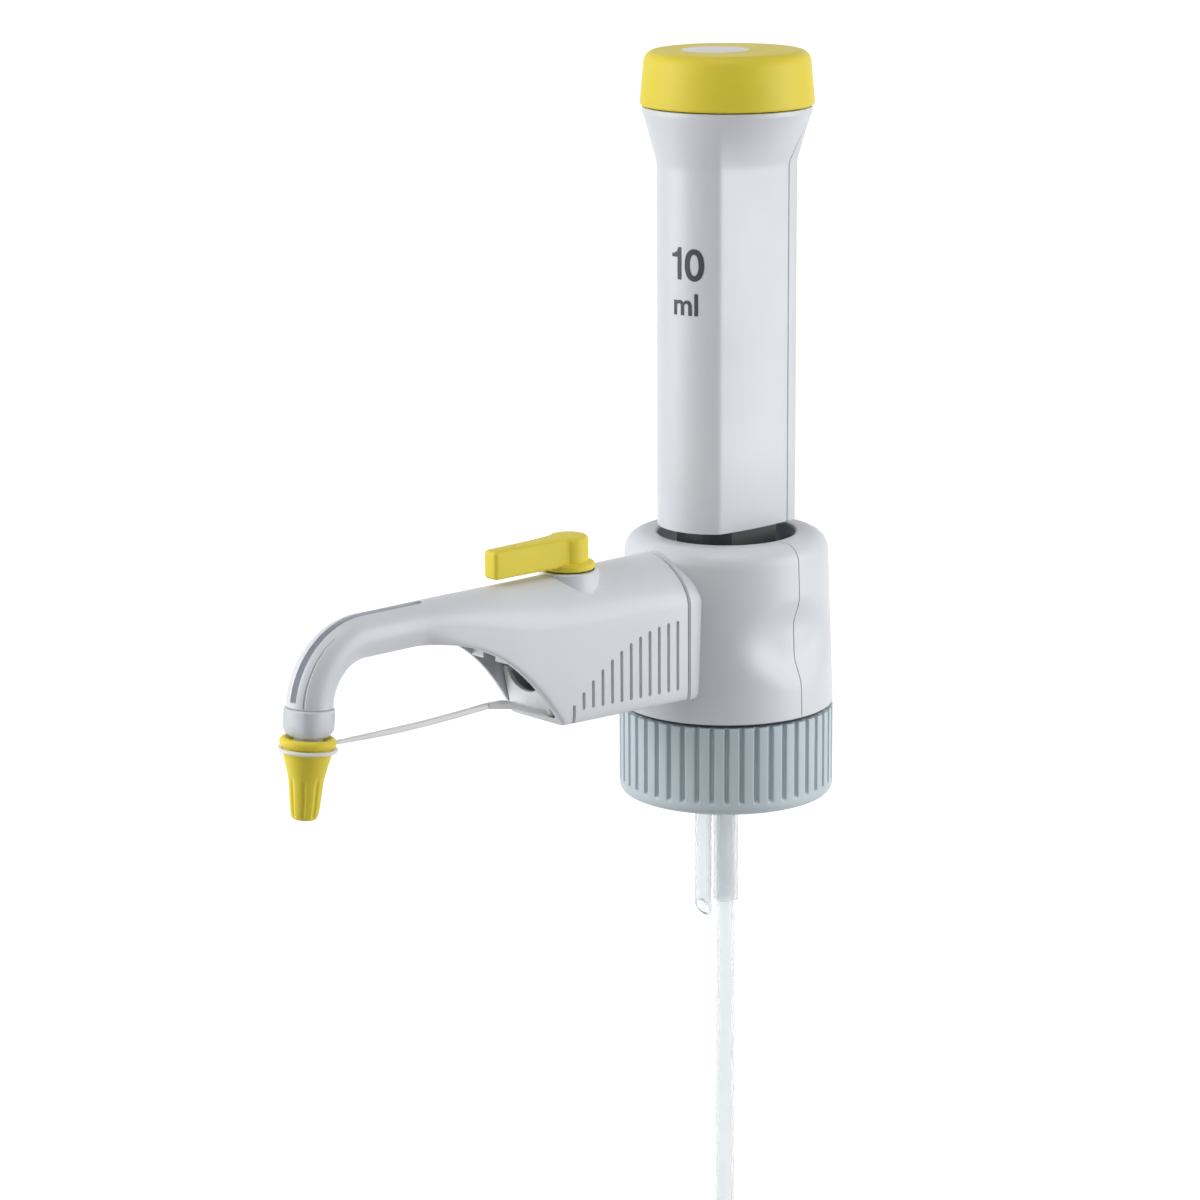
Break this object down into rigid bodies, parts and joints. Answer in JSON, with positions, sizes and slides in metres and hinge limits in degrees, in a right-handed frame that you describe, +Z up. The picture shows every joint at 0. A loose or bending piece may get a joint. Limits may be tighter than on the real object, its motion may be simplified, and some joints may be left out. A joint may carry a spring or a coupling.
{
  "type": "bottle top dispenser",
  "caption": "Bottle top dispenser: piston sleeve on a swivelling valve block, ribbed screw collar, slotted arm with purge lever, bent spout and tethered nozzle cap.",
  "frame": {"origin": "on the dispenser's axis, in the plane where the flask's neck rim meets the seal", "axes": "+Z up along the piston, -Y along the arm towards the nozzle, +X towards the side seen in the picture"},
  "size_m": [0.0566, 0.1785, 0.336],
  "materials": {
    "housing": "satin",
    "collar": "satin",
    "yellow": "satin",
    "dark": "matte",
    "fluoropolymer": "translucent",
    "glass": "clear",
    "ceramic": "polished",
    "metal": "satin"
  },
  "bodies": {
    "collar": {"mounting_collar": "collar", "neck_seal": "fluoropolymer"},
    "valve_block": {"base_flange": "fluoropolymer", "filling_valve_body": "fluoropolymer", "filling_valve_washer": "dark", "filling_tube_upper": "fluoropolymer", "recirculation_tube": "fluoropolymer", "valve_block_core": "fluoropolymer", "block_housing_front": "housing", "block_housing_rear": "housing", "vent_cap": "housing", "cylinder_seal": "dark", "glass_cylinder": "glass", "cylinder_lid": "dark", "cylinder_guide": "dark", "arm_housing": "housing", "outlet_valve_body": "fluoropolymer", "outlet_spring": "metal", "purge_valve_body": "fluoropolymer", "discharge_tube": "fluoropolymer", "nozzle_ferrule": "fluoropolymer", "cap_strap": "fluoropolymer", "strap_anchor": "fluoropolymer"},
    "piston_carriage": {"sleeve_front": "housing", "sleeve_rear": "housing", "guide_pad_front": "fluoropolymer", "guide_pad_rear": "fluoropolymer", "top_cap": "yellow", "piston": "fluoropolymer", "piston_seal": "fluoropolymer", "piston_rod": "metal", "rod_holder": "housing", "calibration_nut": "metal", "volume_stop": "housing"},
    "lever": {"purge_lever": "yellow", "valve_stem": "fluoropolymer", "stem_seal": "dark"},
    "filling_ball": {"filling_valve_ball": "ceramic"},
    "outlet_ball": {"outlet_valve_ball": "ceramic"},
    "lower_tube": {"filling_tube_lower": "fluoropolymer"},
    "cap_ring": {"strap_ring": "fluoropolymer"},
    "nozzle_cap": {"screw_cap": "yellow"}
  },
  "joints": [
    {"name": "block_swivel", "type": "hinge", "parent": "collar", "child": "valve_block", "pos_m": [0, 0, 0], "axis": [0, 0, 1], "continuous": true},
    {"name": "piston_slide", "type": "slide", "parent": "valve_block", "child": "piston_carriage", "axis": [0, 0, 1], "range_m": [0, 0.06]},
    {"name": "lever_turn", "type": "hinge", "parent": "valve_block", "child": "lever", "pos_m": [0, -0.056, 0.0514], "axis": [0, 0, 1], "range_deg": [0, 90]},
    {"name": "filling_ball_lift", "type": "slide", "parent": "valve_block", "child": "filling_ball", "axis": [0, 0, 1], "range_m": [0, 0.0025]},
    {"name": "outlet_ball_lift", "type": "slide", "parent": "valve_block", "child": "outlet_ball", "axis": [0, -1, 0], "range_m": [0, 0.0008], "stiffness_N_per_m": 20},
    {"name": "tube_telescope", "type": "slide", "parent": "valve_block", "child": "lower_tube", "axis": [0, 0, -1], "range_m": [-0.004, 0.02]},
    {"name": "cap_advance", "type": "slide", "parent": "valve_block", "child": "cap_ring", "axis": [0, -0.0872, -0.9962], "range_m": [0, 0.006]},
    {"name": "cap_turn", "type": "hinge", "parent": "cap_ring", "child": "nozzle_cap", "pos_m": [0, -0.1407, 0.0229], "axis": [0, -0.0872, -0.9962], "range_deg": [0, 1080]}
  ],
  "couplings": [
    {"joint": "cap_turn", "follows": "cap_advance", "rad_per_m": 3141.6}
  ]
}
